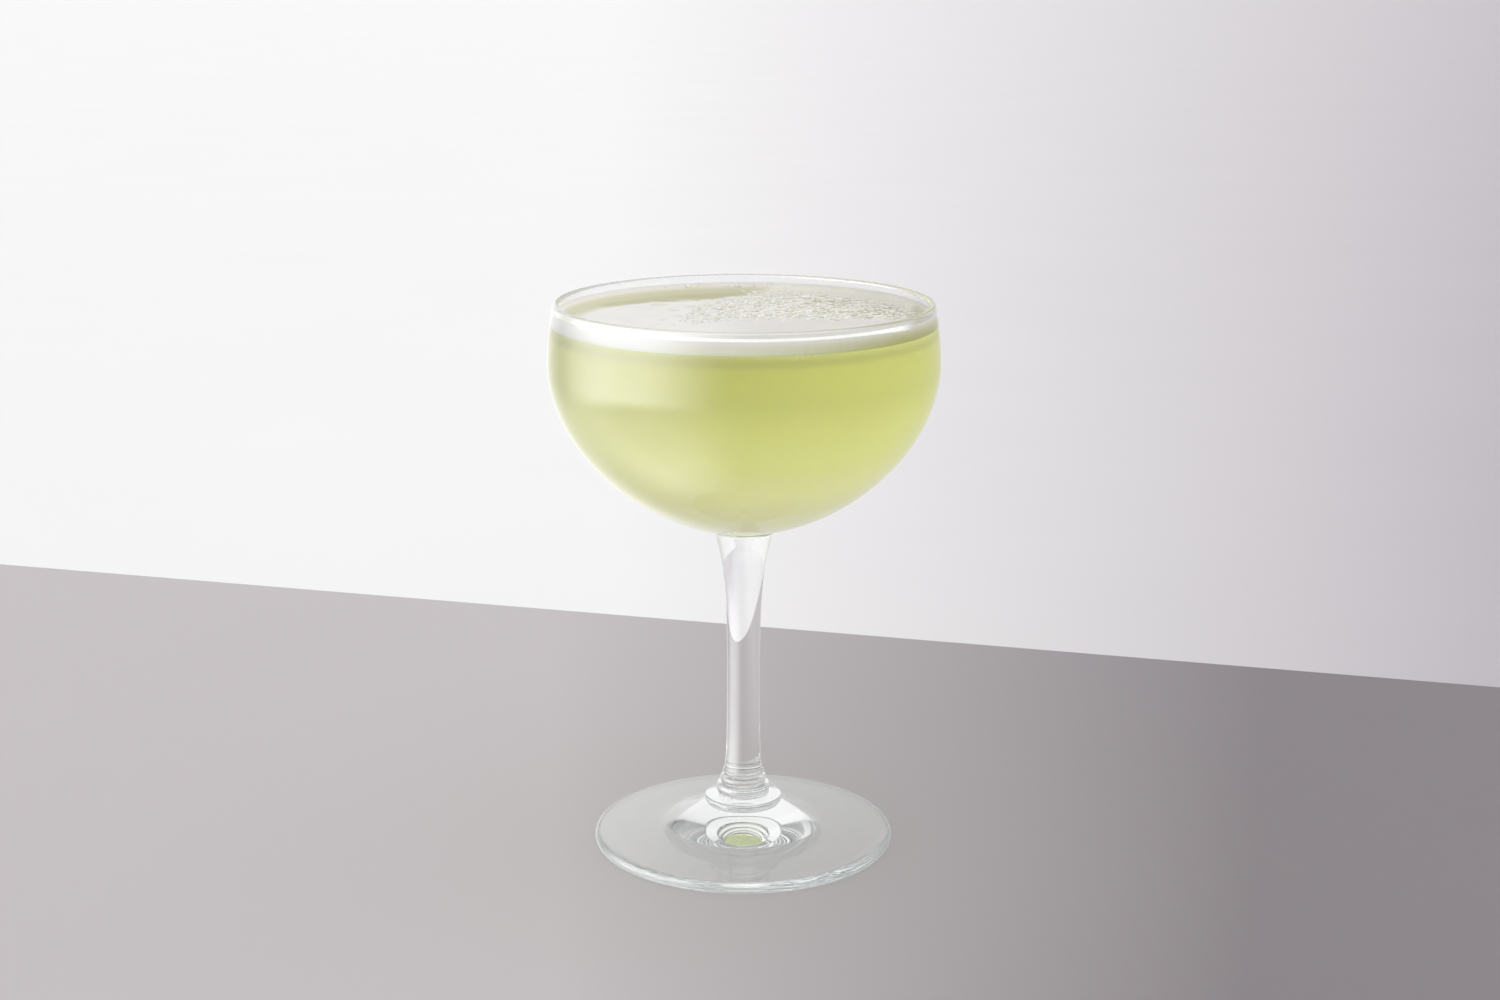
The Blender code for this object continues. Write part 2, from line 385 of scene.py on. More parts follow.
@dataclass(frozen=True)
class FineFroth(Finish):
    """Fine wet froth: creamy in the middle, thin and greener at the back, streaked at the wall; its
    side band has painted light at the left and painted shade at the right, and its top has painted
    light at the left and a painted highlight along a fold.
    """

    name: str = "white_froth"
    cream: Colour = (0.77, 0.75, 0.71)
    # Cream with painted light, used at the left of the top.
    cream_painted_light: Colour = (0.88, 0.865, 0.835)
    thin: Colour = (0.55, 0.54, 0.36)
    thin_pale: Colour = (0.64, 0.63, 0.47)
    seam: Colour = (0.56, 0.55, 0.37)
    # Painted highlight along the fold at the edge of the thin froth.
    fold_highlight: Colour = (0.93, 0.92, 0.90)
    under_raft: Colour = (0.88, 0.87, 0.80)
    climb: tuple[Stop, ...] = (
        (0.0, (0.60, 0.59, 0.42)),
        (0.33, (0.64, 0.63, 0.45)),
        (0.45, (0.64, 0.63, 0.455)),
        (0.58, (0.70, 0.675, 0.545)),
        (0.73, (0.83, 0.78, 0.72)),
        (0.88, (0.88, 0.845, 0.83)),
    )
    climb_white: Colour = (0.90, 0.88, 0.83)
    # Side band at the left, whitened by painted light.
    side_painted_light: tuple[Stop, ...] = (
        (0.0, (0.80, 0.80, 0.66)),
        (0.2, (0.90, 0.90, 0.85)),
        (1.0, (0.93, 0.93, 0.92)),
    )
    side_cream: tuple[Stop, ...] = (
        (0.0, (0.76, 0.76, 0.48)),
        (0.15, (0.84, 0.83, 0.66)),
        (0.6, (0.85, 0.82, 0.72)),
        (1.0, (0.92, 0.88, 0.86)),
    )
    # Side band at the right, darkened to olive by painted shade.
    side_painted_shade: tuple[Stop, ...] = (
        (0.0, (0.44, 0.44, 0.16)),
        (0.3, (0.48, 0.46, 0.22)),
        (0.6, (0.56, 0.54, 0.36)),
        (1.0, (0.72, 0.69, 0.64)),
    )
    # Across x: the side band's painted light fades out between the first two, and its painted shade
    # grows between the last two.
    painted_light_until: float = -22.0 * MM
    cream_from: float = -8.0 * MM
    cream_until: float = -2.0 * MM
    painted_shade_from: float = 34.0 * MM
    level: float = 126.0 * MM
    top: float = 129.3 * MM
    wall: float = 42.6 * MM
    # Across x: where the painted light on the cream comes in, going left.
    painted_light_span: Point = (5.0 * MM, -11.0 * MM)
    thin_way: Point = (-0.45, 0.89)
    thin_from: float = 34.6 * MM
    thin_to: float = 37.0 * MM
    fold_width: float = 1.6 * MM
    fold_end: Point = (-30.0 * MM, -12.0 * MM)
    layer_scale: Place = (22.0, 520.0, 520.0)
    layer_share: Point = (0.35, 0.7)
    patch_scale: float = 160.0
    patch_tones: Point = (0.93, 1.07)
    seam_reach: Point = (4.5 * MM, 1.5 * MM)
    seam_share: Point = (0.8, 0.2)
    wall_from: Point = (0.3 * MM, 1.1 * MM)
    raft_centre: Point = (17.0 * MM, 38.0 * MM)
    raft_radius: float = 33.0 * MM
    raft_edge: Point = (1.0 * MM, -3.0 * MM)
    raft_cover: float = 0.9
    climb_cover: float = 0.85
    drift: float = 4.0 * MM
    thin_drift_scale: float = 70.0
    raft_drift_scale: float = 90.0
    pore: Colour = (0.92, 0.91, 0.88)
    pore_scale: float = 3200.0
    pore_size: Point = (0.25, 0.1)
    pore_share: float = 0.2
    pore_depth: float = 0.06 * MM
    grain_scale: float = 900.0
    grain_depth: float = 0.2 * MM
    bend: float = 0.35
    streak_scale: Place = (1500.0, 1500.0, 160.0)
    streak_share: float = 0.10
    side_from: float = 0.2 * MM
    roughness: Point = (0.24, 0.46)
    gloss: Point = (0.03, 0.35)
    scatter: float = 0.25

    def side(self, bench: Bench, place: Value) -> Any:
        """Colour of the band at the side: painted light makes it white at the left, it is creamy in
        front, and painted shade makes it olive at the right.
        """
        x, _y, z = bench.parts(place)
        streaks = bench.noise(bench.stretched(place, self.streak_scale), 1.0, 2.0)
        level = bench.spread(z, self.level + self.side_from, self.top, soft=False)
        level = bench.plus(level, bench.between(streaks, -self.streak_share, self.streak_share))
        # Painted light whitens the band at the left, creamy from there on.
        colour = bench.blend(
            bench.spread(x, self.painted_light_until, self.cream_from),
            bench.ramp(level, self.side_painted_light),
            bench.ramp(level, self.side_cream),
        )
        # Painted shade: olive growing towards the right.
        olive = bench.spread(x, self.cream_until, self.painted_shade_from, soft=False)
        return bench.blend(olive, colour, bench.ramp(level, self.side_painted_shade))

    def surface(self, bench: Bench, place: Value, raft: Value) -> Any:
        """Colour of the level top, from cream to thin froth in layers and the raft's wet bed, with
        painted light on the cream at the left and a painted highlight along the fold at the thin
        froth's edge.
        """
        x, y, _z = bench.parts(place)
        along = self.towards_thin(bench, place)
        thin = bench.spread(along, self.thin_from, self.thin_to)
        # Painted highlight: a band along the fold, fading out towards the left.
        fold_highlight = bench.times(
            bench.spread(along, self.thin_from - self.fold_width, self.thin_from),
            bench.spread(along, self.thin_to, self.thin_from),
        )
        fold_highlight = bench.times(fold_highlight, bench.spread(x, *self.fold_end))
        layers = bench.noise(bench.stretched(place, self.layer_scale), 1.0, 3.0)
        layered = bench.blend(bench.spread(layers, *self.layer_share), self.thin, self.thin_pale)
        patches = bench.between(bench.noise(place, self.patch_scale, 4.0, 0.6), *self.patch_tones)
        # Cream with painted light at the left.
        level = bench.blend(bench.spread(x, *self.painted_light_span), self.cream, self.cream_painted_light)
        cream = bench.blend(fold_highlight, bench.blend(thin, level, layered), self.fold_highlight)
        cream = bench.scaled(cream, patches)
        colour = bench.blend(bench.times(raft, self.raft_cover), cream, self.under_raft)
        radius = bench.math("SQRT", bench.times_plus(x, x, bench.times(y, y)))
        foot = bench.spread(radius, *(self.wall - reach for reach in self.seam_reach))
        foot = bench.times(foot, bench.between(raft, *self.seam_share))
        return bench.blend(foot, colour, self.seam)

    def towards_thin(self, bench: Bench, place: Value) -> Any:
        """How far a place lies towards the thin froth, with an uneven drift."""
        x, y, _z = bench.parts(place)
        along = bench.times_plus(x, self.thin_way[0], bench.times(y, self.thin_way[1]))
        return bench.plus(along, self.uneven(bench, place, self.thin_drift_scale))

    def uneven(self, bench: Bench, place: Value, scale: float) -> Any:
        """Uneven shift of an outline, to either side."""
        return bench.between(bench.noise(place, scale, 3.0), -self.drift, self.drift)

    def raft_share(self, bench: Bench, place: Value) -> Any:
        """1 under the raft and 0 outside it, with a soft uneven edge."""
        x, y, _z = bench.parts(place)
        away_x = bench.minus(x, self.raft_centre[0])
        away_y = bench.minus(y, self.raft_centre[1])
        squares = bench.times_plus(away_x, away_x, bench.times(away_y, away_y))
        drift = self.uneven(bench, place, self.raft_drift_scale)
        away = bench.plus(bench.math("SQRT", squares), drift)
        near = bench.spread(away, *(self.raft_radius + edge for edge in self.raft_edge))
        thick = bench.spread(self.towards_thin(bench, place), self.thin_to, self.thin_from)
        return bench.times(near, thick)

    def material(self) -> bpy.types.Material:
        """Make the material."""
        material, bench, shader, _output = new_material(self.name)
        place = bench.place()
        height = bench.parts(place)[2]
        raft = self.raft_share(bench, place)
        climb = bench.spread(height, self.level, self.top, soft=False)
        ramp = bench.ramp(climb, self.climb)
        climbing = bench.blend(bench.times(raft, self.climb_cover), ramp, self.climb_white)
        wall_share = bench.spread(height, *(self.level + above for above in self.wall_from))
        inner = bench.blend(wall_share, self.surface(bench, place, raft), climbing)
        pores = bench.cells(place, self.pore_scale)
        white = bench.times(bench.spread(pores, *self.pore_size), self.pore_share)
        side = bench.blend(white, self.side(bench, place), self.pore)
        grain = bench.noise(place, self.grain_scale, 4.0, 0.65)
        bend = bench.bump(grain, self.grain_depth, self.bend)
        looks = {
            "Base Color": bench.blend(bench.attribute("zone"), inner, side),
            "Normal": bench.bump(pores, self.pore_depth, self.bend, bend),
            "Roughness": bench.between(grain, *self.roughness),
            "Specular IOR Level": bench.between(wall_share, *self.gloss),
            "Subsurface Weight": self.scatter,
        }
        bench.fill(shader, {**WET_FOAM, **looks})
        return material


@dataclass(frozen=True)
class BubbleFilm(Finish):
    """Bubble skins: a painted highlight at the crown and white where they meet, with an olive window
    between.
    """

    name: str = "bubble_film"
    olive: Colour = (0.41, 0.40, 0.225)
    pale: Colour = (0.77, 0.755, 0.66)
    white: Colour = (0.985, 0.97, 0.94)
    # Where the painted highlight sits at the top of each bubble.
    crown_highlight: Point = (0.12, 0.04)
    foot: Point = (0.30, 0.46)
    swirl_scale: float = 700.0
    swirl_depth: float = 0.1 * MM
    swirl_bend: float = 0.25
    swirl_share: Point = (0.5, 0.85)
    crown_play: float = 0.08
    roughness: float = 0.15
    roughness_play: Point = (-0.05, 0.08)
    scatter: float = 0.3

    def material(self) -> bpy.types.Material:
        """Make the material."""
        material, bench, shader, _output = new_material(self.name)
        place = bench.place()
        film = bench.attribute("film")
        swirl = bench.noise(place, self.swirl_scale, 3.0)
        window = bench.blend(bench.attribute("tone"), self.olive, self.pale)
        window = bench.blend(bench.spread(swirl, *self.swirl_share), window, self.white)
        play = bench.between(swirl, -self.crown_play, self.crown_play)
        # Painted highlight at the crown, and the film's own white where the bubbles meet at the foot.
        crown_highlight = bench.spread(bench.plus(film, play), *self.crown_highlight)
        rim = bench.math("MAXIMUM", crown_highlight, bench.spread(film, *self.foot))
        roughness = [self.roughness + shift for shift in self.roughness_play]
        looks = {
            "Base Color": bench.blend(rim, window, self.white),
            "Roughness": bench.between(swirl, *roughness),
            "Normal": bench.bump(swirl, self.swirl_depth, self.swirl_bend),
            "Subsurface Weight": self.scatter,
        }
        bench.fill(shader, {**WET_FOAM, **looks})
        return material


@dataclass(frozen=True)
class PlainSheet(Finish):
    """Matt stage surface with a faint grain; painted light at the left fans out to painted shade at
    the right.
    """

    name: str
    left: Colour
    right: Colour
    span: Point
    fan_centre: float = 0.52
    fan_least: float = 0.42
    grain: float = 0.02
    grain_scale: float = 8.0
    roughness: float = 0.9
    gloss: float = 0.1

    def material(self) -> bpy.types.Material:
        """Make the material."""
        material, bench, shader, _output = new_material(self.name)
        place = bench.place()
        x, y, _z = bench.parts(place)
        # Painted light at the left, fading to painted shade at the right, fanned out from in front of
        # the glass.
        ahead = bench.math("MAXIMUM", bench.plus(y, self.fan_centre), self.fan_least)
        share = bench.spread(bench.share_of(x, ahead), *self.span, soft=False)
        noise = bench.noise(place, self.grain_scale, 4.0)
        grain = bench.between(noise, 1 - self.grain, 1 + self.grain)
        looks = {
            "Base Color": bench.scaled(bench.blend(share, self.left, self.right), grain),
            "Roughness": self.roughness,
            "Specular IOR Level": self.gloss,
        }
        bench.fill(shader, looks)
        return material


# --- Geometry Nodes: turning a section, and setting bubbles ---


class Tree:
    """A geometry tree with named inputs, set by their sockets' identifiers."""

    def __init__(self, name: str, inputs: Sequence[tuple[str, str]]) -> None:
        """Make the tree.

        Args:
            name: name of the tree.
            inputs: name and socket type of each input after the geometry.
        """
        self.tree = bpy.data.node_groups.new(name, "GeometryNodeTree")
        face = self.tree.interface
        face.new_socket("Geometry", in_out="INPUT", socket_type="NodeSocketGeometry")
        for title, kind in inputs:
            face.new_socket(title, in_out="INPUT", socket_type=kind)
        face.new_socket("Geometry", in_out="OUTPUT", socket_type="NodeSocketGeometry")
        self.bench = Bench(self.tree)
        self.start = self.bench.add("NodeGroupInput").outputs
        self.wire()

    def wire(self) -> None:
        """Add the tree's nodes; each kind of tree has its own."""
        raise NotImplementedError

    def finish(self, geometry: Any) -> None:
        """End the tree: smooth, real geometry with its material on it."""
        bench = self.bench
        smooth = bench.add("GeometryNodeSetShadeSmooth", {0: geometry}).outputs[0]
        real = bench.add("GeometryNodeRealizeInstances", {0: smooth}).outputs[0]
        inputs = {"Geometry": real, "Material": self.start["Material"]}
        done = bench.add("GeometryNodeSetMaterial", inputs).outputs[0]
        bench.add("NodeGroupOutput", {0: done})

    def run(self, name: str, source: bpy.types.Mesh, values: dict[str, Value]) -> bpy.types.Object:
        """Run the tree on a mesh.

        Args:
            name: name of the finished piece.
            source: mesh that goes into the tree.
            values: value of each named input.

        Returns:
            An object with a plain mesh and no modifier, at the origin.
        """
        piece = bpy.data.objects.new(name, source)
        bpy.context.scene.collection.objects.link(piece)
        modifier = piece.modifiers.new("tree", "NODES")
        modifier.node_group = self.tree
        for item in self.tree.interface.items_tree:
            if item.in_out == "INPUT" and item.name in values:
                modifier[item.identifier] = values[item.name]
        graph = bpy.context.evaluated_depsgraph_get()
        mesh = bpy.data.meshes.new_from_object(piece.evaluated_get(graph), depsgraph=graph)
        piece.modifiers.clear()
        piece.data = mesh
        mesh.name = name
        return piece


class TurnTree(Tree):
    """Turns a section about the Z axis, and lays a low relief on it where the section asks."""

    def __init__(self) -> None:
        """Make the tree with its named inputs."""
        inputs = (
            ("Segments", "NodeSocketInt"),
            ("Relief Scale", "NodeSocketFloat"),
            ("Merge Distance", "NodeSocketFloat"),
            ("Material", "NodeSocketMaterial"),
        )
        super().__init__("turn_section", inputs)

    def sampled(self, value: Any, row: Any, kind: str) -> Any:
        """A value of the section's point that a row of the grid belongs to."""
        inputs = {"Geometry": self.start["Geometry"], "Value": value, "Index": row}
        return self.bench.add("GeometryNodeSampleIndex", inputs, data_type=kind).outputs[0]

    def wire(self) -> None:
        """One row of the grid for each point of the section, one column for each step round."""
        bench = self.bench
        size = bench.add("GeometryNodeAttributeDomainSize", {0: self.start["Geometry"]})
        columns = bench.plus(self.start["Segments"], 1.0)
        inputs = {"Vertices X": size.outputs["Point Count"], "Vertices Y": columns}
        grid = bench.add("GeometryNodeMeshGrid", inputs).outputs["Mesh"]
        index = bench.add("GeometryNodeInputIndex").outputs[0]
        row = bench.math("FLOOR", bench.share_of(bench.plus(index, 0.5), columns))
        column = bench.minus(index, bench.times(row, columns))
        share = bench.share_of(column, self.start["Segments"])
        angle = bench.times(share, FULL_TURN)
        position = bench.add("GeometryNodeInputPosition").outputs[0]
        radius, _flat, height = bench.parts(self.sampled(position, row, "FLOAT_VECTOR"))
        x = bench.times(radius, bench.math("COSINE", angle))
        y = bench.times(radius, bench.math("SINE", angle))
        shape = grid
        for name in ("zone", "relief"):
            shape = bench.keep(shape, name, self.sampled(bench.stored(name), row, "FLOAT"))
        inputs = {"Geometry": shape, "Position": bench.joined(x, y, height)}
        shape = bench.add("GeometryNodeSetPosition", inputs).outputs[0]
        inputs = {"Geometry": shape, "Distance": self.start["Merge Distance"]}
        shape = bench.add("GeometryNodeMergeByDistance", inputs).outputs[0]
        where = bench.add("GeometryNodeInputPosition").outputs[0]
        waves = bench.noise(where, self.start["Relief Scale"], 2.0)
        waves = bench.times(bench.minus(waves, 0.5), 2.0)
        push = bench.times(waves, bench.stored("relief"))
        offset = bench.scaled(bench.add("GeometryNodeInputNormal").outputs[0], push)
        shape = bench.add("GeometryNodeSetPosition", {"Geometry": shape, "Offset": offset}).outputs[0]
        self.finish(shape)


def keep_numbers(mesh: bpy.types.Mesh, **rows: list[float]) -> None:
    """Keep rows of numbers on a mesh's points, each under its own name."""
    for name, values in rows.items():
        mesh.attributes.new(name, "FLOAT", "POINT").data.foreach_set("value", values)


def bubble_points(
    name: str, places: np.ndarray, sizes: np.ndarray, tones: np.ndarray
) -> bpy.types.Mesh:
    """Points for bubbles.

    Args:
        name: name of the mesh.
        places: one row of x, y and z for each bubble.
        sizes: their radii.
        tones: 0 for an olive film, 1 for a pale one.

    Returns:
        A mesh of loose points that carry size and tone.
    """
    mesh = bpy.data.meshes.new(name)
    mesh.from_pydata(places.tolist(), [], [])
    keep_numbers(mesh, size=sizes.tolist(), tone=tones.tolist())
    return mesh


class BubbleTree(Tree):
    """Sets one flattened ball on every point, sized and toned by the point."""

    def __init__(self) -> None:
        """Make the tree with its named inputs."""
        inputs = (
            ("Sides", "NodeSocketInt"),
            ("Rows", "NodeSocketInt"),
            ("Flatness", "NodeSocketFloat"),
            ("Seed", "NodeSocketInt"),
            ("Material", "NodeSocketMaterial"),
        )
        super().__init__("set_bubbles", inputs)

    def wire(self) -> None:
        """Ball with its film share kept on it, then one for each point, turned at random."""
        bench = self.bench
        inputs = {"Segments": self.start["Sides"], "Rings": self.start["Rows"], "Radius": 1.0}
        ball = bench.add("GeometryNodeMeshUVSphere", inputs).outputs["Mesh"]
        height = bench.parts(bench.add("GeometryNodeInputPosition").outputs[0])[2]
        film = bench.math("SUBTRACT", 1.0, height, clamp=True)
        ball = bench.keep(ball, "film", film)
        squash = bench.joined(1.0, 1.0, self.start["Flatness"])
        ball = bench.add("GeometryNodeTransform", {"Geometry": ball, "Scale": squash}).outputs[0]
        limits = {3: FULL_TURN, "Seed": self.start["Seed"]}
        spin = bench.add("FunctionNodeRandomValue", limits, data_type="FLOAT")
        turn = bench.joined(0.0, 0.0, spin.outputs[1])
        inputs = {"Points": self.start["Geometry"], "Instance": ball, "Rotation": turn}
        inputs["Scale"] = bench.stored("size")
        self.finish(bench.add("GeometryNodeInstanceOnPoints", inputs).outputs[0])


# --- Sections ---


def arc(centre: Point, halves: Point, start: float, end: float, steps: int) -> list[Point]:
    """Points of an ellipse arc.

    Args:
        centre: radius and height of its middle.
        halves: half its width and half its height.
        start: first angle in degrees, 0 pointing outwards and 90 up.
        end: last angle.
        steps: number of pieces between them.

    Returns:
        The points, start and end included.
    """
    angles = np.radians(np.linspace(start, end, steps + 1))
    radii = centre[0] + halves[0] * np.cos(angles)
    heights = centre[1] + halves[1] * np.sin(angles)
    return list(zip(radii.tolist(), heights.tolist()))


def softened(points: Sequence[Point], reach: float, least_turn: float = 14.0) -> list[Point]:
    """Round the corners of a section off.

    Args:
        points: the section.
        reach: how far from a corner its rounding may start.
        least_turn: smallest bend in degrees that counts as a corner.

    Returns:
        The section with a short curve in place of each corner.
    """
    done = [points[0]]
    for before, corner, after in zip(points, points[1:], points[2:]):
        into = np.subtract(corner, before)
        out = np.subtract(after, corner)
        lengths = np.hypot(*into), np.hypot(*out)
        turn = math.degrees(math.acos(max(-1.0, min(1.0, into @ out / (lengths[0] * lengths[1])))))
        if turn < least_turn:
            done.append(corner)
            continue
        first = np.array(corner) - into / lengths[0] * min(reach, 0.45 * lengths[0])
        last = np.array(corner) + out / lengths[1] * min(reach, 0.45 * lengths[1])
        for share in (0.0, 0.25, 0.5, 0.75, 1.0):
            pull = 2 * share * (1 - share) * np.array(corner)
            curve = (1 - share) ** 2 * first + pull + share**2 * last
            done.append((float(curve[0]), float(curve[1])))
    done.append(points[-1])
    return done


@dataclass
class Section:
    """Section of a turned piece that runs down its outer side."""

    points: list[Point] = field(default_factory=list)
    zones: list[float] = field(default_factory=list)
    reliefs: list[float] = field(default_factory=list)

    def extend(self, points: Sequence[Point], zone: Zone = Zone.TOP, relief: float = 0.0) -> None:
        """Add points that share a zone and a relief."""
        self.points += list(points)
        self.zones += [zone.value] * len(points)
        self.reliefs += [relief] * len(points)

    def mesh(self, name: str) -> bpy.types.Mesh:
        """The section as a line of vertices with its zones and reliefs."""
        mesh = bpy.data.meshes.new(name)
        edges = [(index, index + 1) for index in range(len(self.points) - 1)]
        mesh.from_pydata([(radius, 0.0, height) for radius, height in self.points], edges, [])
        keep_numbers(mesh, zone=self.zones, relief=self.reliefs)
        return mesh


def finished(piece: bpy.types.Object, slot: Slot, *nodes: str) -> bpy.types.Object:
    """Attach a finished piece to the root body and hide the CAD parts that it stands for.

    Args:
        piece: the piece, in its place.
        slot: material slot that it belongs to; not used.
        nodes: CAD nodes that it stands for.

    Returns:
        The same piece.
    """
    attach(piece, "root")
    if nodes:
        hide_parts(*nodes)
    log.info("%s: %d faces", piece.name, len(piece.data.polygons))
    return piece


class Turned:
    """A piece turned from its section, which stands for one CAD node."""

    piece: ClassVar[str]
    node: ClassVar[str]
    slot: ClassVar[Slot]
    segments: int
    relief_scale: float = 100.0
    merge: float = 0.001 * MM

    def section(self) -> Section:
        """The section of the piece; each kind has its own."""
        raise NotImplementedError

    def build(self, turn: TurnTree, finish: Finish) -> bpy.types.Object:
        """Turn the piece and dress it.

        Args:
            turn: tree that turns the section.
            finish: its finish.

        Returns:
            The finished piece.
        """
        values = {
            "Segments": self.segments,
            "Relief Scale": self.relief_scale,
            "Merge Distance": self.merge,
            "Material": finish.material(),
        }
        source = self.section().mesh(f"{self.piece}_section")
        return finished(turn.run(self.piece, source, values), self.slot, self.node)


# --- Glass ---


@dataclass
class CoupeGlass(Turned):
    """The stemmed glass: bowl, stem, moulded rings, collar and foot, turned in one piece."""

    piece = "coupe_glass"
    node = "glass"
    slot = Slot.GLASS
    height: float = 131.3 * MM
    rim_radius: float = 44.0 * MM
    bowl_radius: float = 45.4 * MM
    bowl_height: float = 116.4 * MM
    bowl_bottom: float = 76.75 * MM
    squareness: float = 1.82
    wall: float = 1.5 * MM
    floor: float = 3.0 * MM
    joint_share: float = 0.877
    stem: float = 3.87 * MM
    stem_top: float = 76.6 * MM
    top_flare: float = 3.03 * MM
    top_flare_length: float = 9.2 * MM
    top_flare_power: float = 1.18
    stem_bottom: float = 18.4 * MM
    bottom_flare: float = 0.6 * MM
    bottom_flare_length: float = 5.8 * MM
    rings: tuple[Place, ...] = (
        (4.95 * MM, 17.05 * MM, 0.75 * MM),
        (5.55 * MM, 15.35 * MM, 0.85 * MM),
        (6.45 * MM, 13.10 * MM, 1.20 * MM),
    )
    ring_bulge: float = 0.7 * MM
    neck: Point = (6.1 * MM, 11.65 * MM)
    collar_radius: float = 9.3 * MM
    collar_top: float = 11.4 * MM
    collar_bottom: float = 9.6 * MM
    mound_top: Point = (8.8 * MM, 9.4 * MM)
    mound_foot: Point = (19.3 * MM, 4.5 * MM)
    mound_hollowness: float = 1.1
    mound_easing: float = 0.2
    foot_radius: float = 35.8 * MM
    foot_edge: float = 3.0 * MM
    foot_edge_depth: float = 1.35 * MM
    rest_outer: float = 34.6 * MM
    rest_inner: float = 32.6 * MM
    underside_rise: float = 1.2 * MM
    dimple_rise: float = 1.4 * MM
    dimple_reach: float = 12.0 * MM
    foot_corner: float = 66.0
    corner_reach: float = 0.16 * MM
    lip_half: float = 0.7125 * MM
    lip_lean: float = 11.3
    segments: int = 224

    @property
    def rim(self) -> Point:
        """Middle of the wall where the bowl's shape is set at the rim."""
        return self.rim_radius - self.wall / 2, self.height - self.wall / 2

    @property
    def lip(self) -> Point:
        """Middle of the rounded lip."""
        height = self.height - self.lip_half
        return self.shoulder(self.bowl_radius - self.wall / 2, height), height

    @property
    def inner_depth(self) -> float:
        """Depth of the bowl's inside below its widest place."""
        return self.bowl_height - self.bowl_bottom - self.floor

    def bowl_point(self, radius: float, depth: float, share: float) -> Point:
        """Point of the bowl's lower half, share 0 at its widest and 1 at its bottom."""
        angle = share * math.pi / 2
        power = 2 / self.squareness
        across = radius * max(math.cos(angle), 0.0) ** power
        return across, self.bowl_height - depth * math.sin(angle) ** power

    def bowl_below(self, radius: float, depth: float, last: float, steps: int) -> list[Point]:
        """Points of the bowl from its widest place down to a share of the way."""
        return [self.bowl_point(radius, depth, last * step / steps) for step in range(steps + 1)]

    def shoulder(self, radius: float, height: float) -> float:
        """Radius of the wall above its widest place, where it draws in to the rim."""
        ratio = self.rim[0] / (self.bowl_radius - self.wall / 2)
        half_axis = (self.rim[1] - self.bowl_height) / math.sqrt(1 - ratio**2)
        return radius * math.sqrt(1 - ((height - self.bowl_height) / half_axis) ** 2)

    def wall_above(self, radius: float, top: float, steps: int) -> list[Point]:
        """Points of the wall from just above its widest place up to a height."""
        heights = np.linspace(self.bowl_height, top, steps + 1)[1:].tolist()
        return [(self.shoulder(radius, height), height) for height in heights]

    def inside(self, height: float) -> float:
        """Radius of the inner wall near the rim."""
        return self.shoulder(self.bowl_radius - self.wall, height)

    def stem_radius(self, height: float) -> float:
        """Radius of the stem, flared at both ends."""
        down = (self.stem_top - height) / self.top_flare_length
        up = (height - self.stem_bottom) / self.bottom_flare_length
        flare = self.top_flare * math.exp(-(down**self.top_flare_power))
        return self.stem + flare + self.bottom_flare * math.exp(-up)

    def bowl_section(self) -> list[Point]:
        """Up the inside, over the lip and down the outside to the joint."""
        inner = self.bowl_radius - self.wall
        points = self.bowl_below(inner, self.inner_depth, 1.0, 44)[::-1]
        points[0] = (0.0, points[0][1])
        rise = self.lip_half * math.sin(math.radians(self.lip_lean))
        points += self.wall_above(inner, self.lip[1] - rise, 18)[:-1]
        points += arc(self.lip, (self.lip_half, self.lip_half), 180 + self.lip_lean, self.lip_lean, 18)
        points += self.wall_above(self.bowl_radius, self.lip[1] + rise, 18)[-2::-1]
        depth = self.bowl_height - self.bowl_bottom
        return points + self.bowl_below(self.bowl_radius, depth, self.joint_share, 44)

    def stem_section(self) -> list[Point]:
        """Down the stem and over its rings."""
        heights = np.linspace(self.stem_top, self.stem_bottom, 49).tolist()
        points = [(self.stem_radius(height), height) for height in heights]
        for radius, middle, half in self.rings:
            points += arc((radius - self.ring_bulge, middle), (self.ring_bulge, half), 60, -60, 10)
        return points

    def underside(self, radius: float) -> float:
        """Height under the foot: a wide shallow hollow with a dimple in its middle."""
        wide = self.underside_rise * (1 - (radius / self.rest_inner) ** 2)
        dimple = math.exp(-((radius / self.dimple_reach) ** 2))
        dimple_end = math.exp(-((self.rest_inner / self.dimple_reach) ** 2))
        return wide + self.dimple_rise * (dimple - dimple_end)

    def foot_section(self) -> list[Point]:
        """Collar, mound, plate, rounded edge, resting ring and hollow underside."""
        half = (self.collar_top - self.collar_bottom) / 2
        middle = (self.collar_radius - half, self.collar_bottom + half)
        points = [self.neck, *arc(middle, (half, half), 82, -75, 12)]
        fall = self.mound_top[1] - self.mound_foot[1]
        for share in np.linspace(0, 1, 25).tolist():
            left = (1 - share) ** self.mound_hollowness * (1 - self.mound_easing * share)
            radius = self.mound_top[0] + (self.mound_foot[0] - self.mound_top[0]) * share
            points.append((radius, self.mound_foot[1] + fall * left))
        edge = (self.foot_radius - self.foot_edge_depth, self.foot_edge / 2)
        drop = self.foot_edge - self.mound_foot[1]
        for share in (0.16, 0.42, 0.70):
            radius = self.mound_foot[0] + (edge[0] - self.mound_foot[0]) * share
            points.append((radius, self.mound_foot[1] + drop * share))
        points += arc(edge, (self.foot_edge_depth, self.foot_edge / 2), self.foot_corner, -62, 16)
        points.append((self.rest_outer, 0.0))
        for share in np.linspace(1, 0, 49).tolist():
            radius = self.rest_inner * share
            points.append((radius, self.underside(radius)))
        return points

    def section(self) -> Section:
        """The whole glass, from the middle of the bowl round to the middle of the underside."""
        points = self.bowl_section() + self.stem_section() + self.foot_section()
        section = Section()
        section.extend(softened(points, self.corner_reach))
        return section


# --- Contents ---


